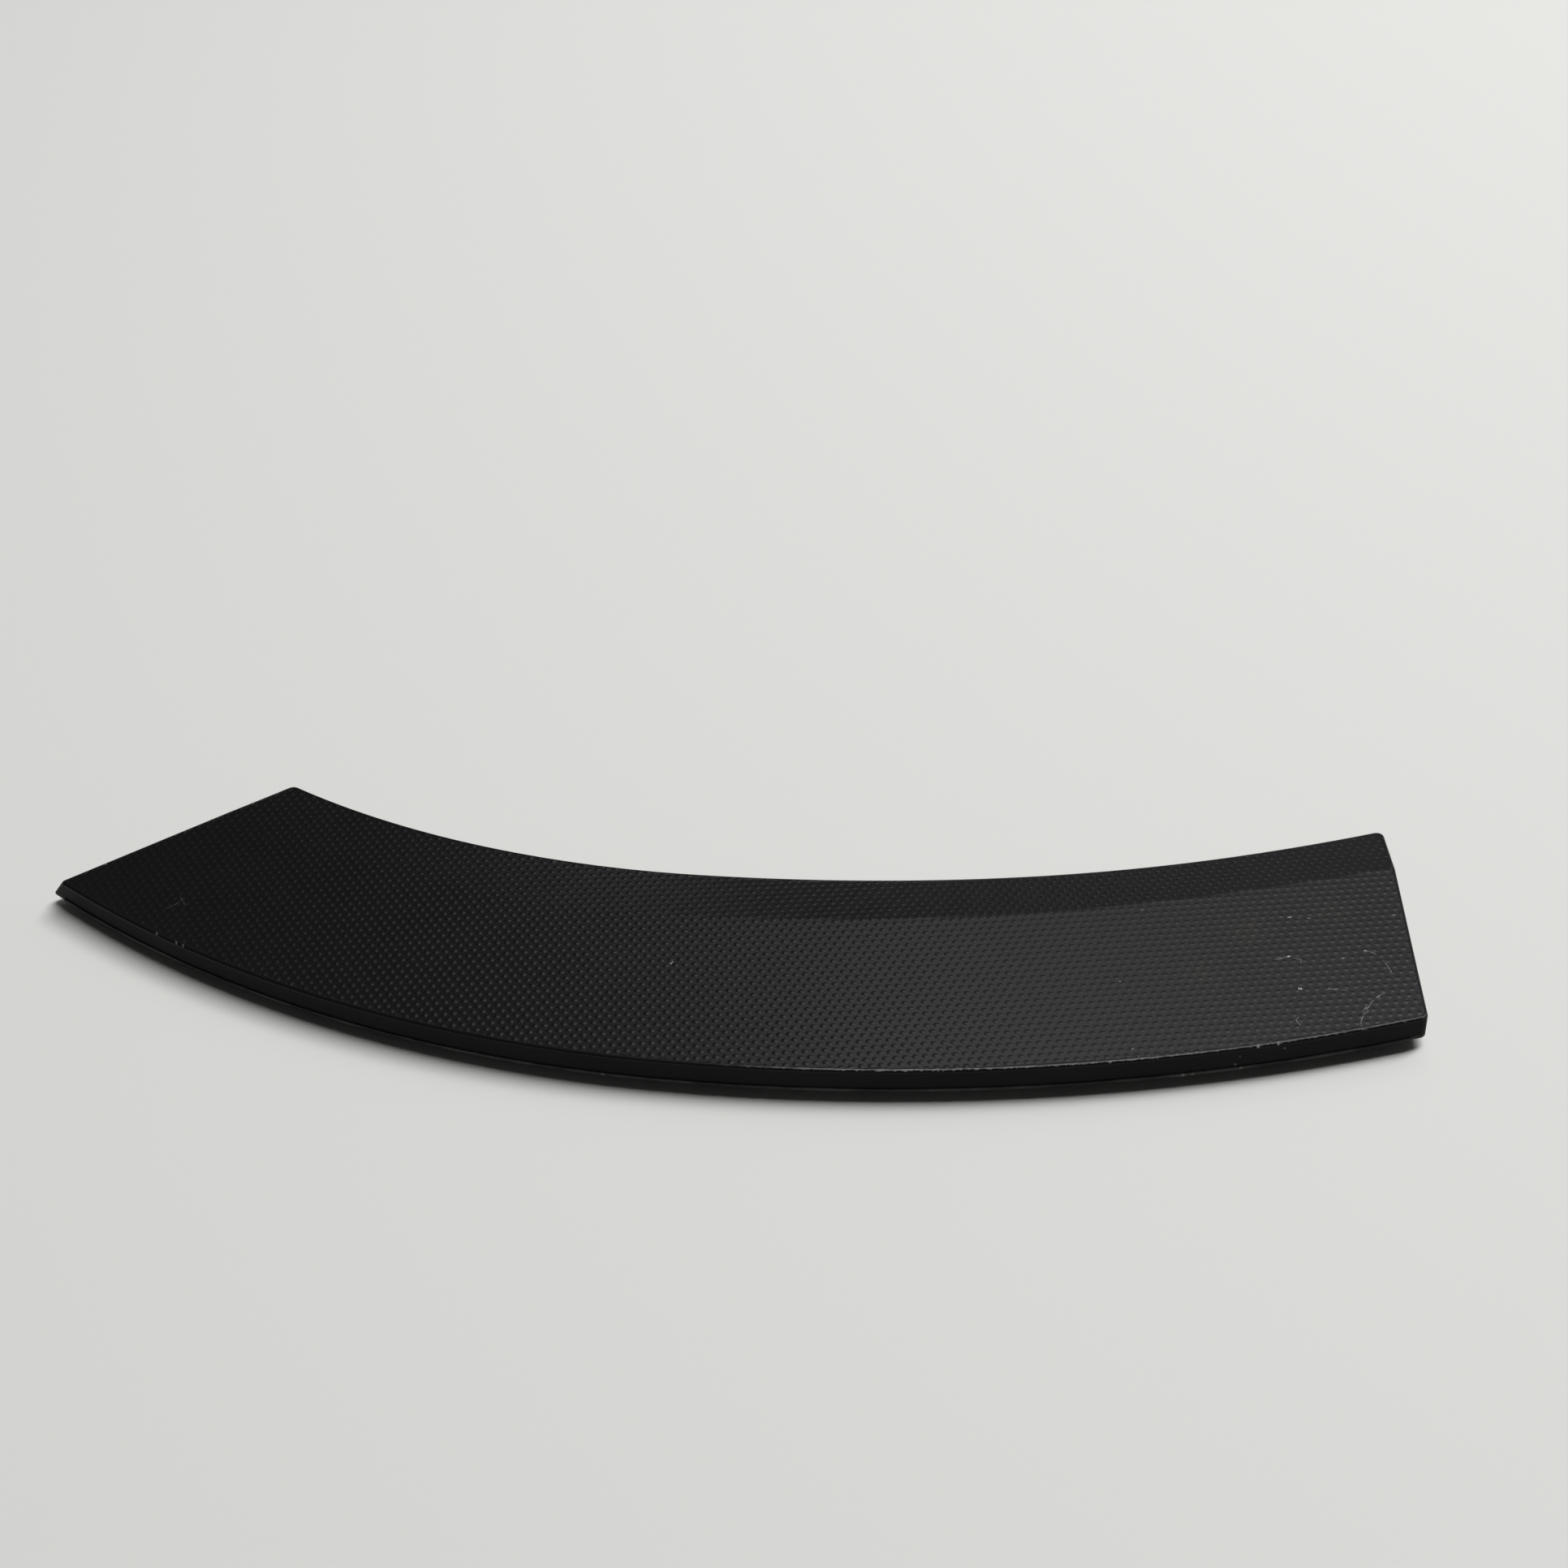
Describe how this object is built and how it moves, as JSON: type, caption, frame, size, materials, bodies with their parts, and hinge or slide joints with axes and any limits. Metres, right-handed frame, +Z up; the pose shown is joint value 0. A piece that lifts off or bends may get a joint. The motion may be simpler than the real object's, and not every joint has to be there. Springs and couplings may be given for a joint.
{
  "type": "wheel arch trim",
  "caption": "Curved band of black grained plastic that trims a car's wheel opening, with a lip on its outer edge, a return flange by the wheel, and ribs, clip towers and pins behind.",
  "frame": {"origin": "centre of the box's underside, on the surface that the trim lies on", "axes": "+X along the band, +Y towards the wheel, +Z up, with the grained face up"},
  "size_m": [0.3542, 0.1296, 0.0101],
  "materials": {
    "grained_plastic": "satin grain, scuffed"
  },
  "bodies": {
    "root": {"arch_trim": "grained_plastic"}
  },
  "joints": []
}
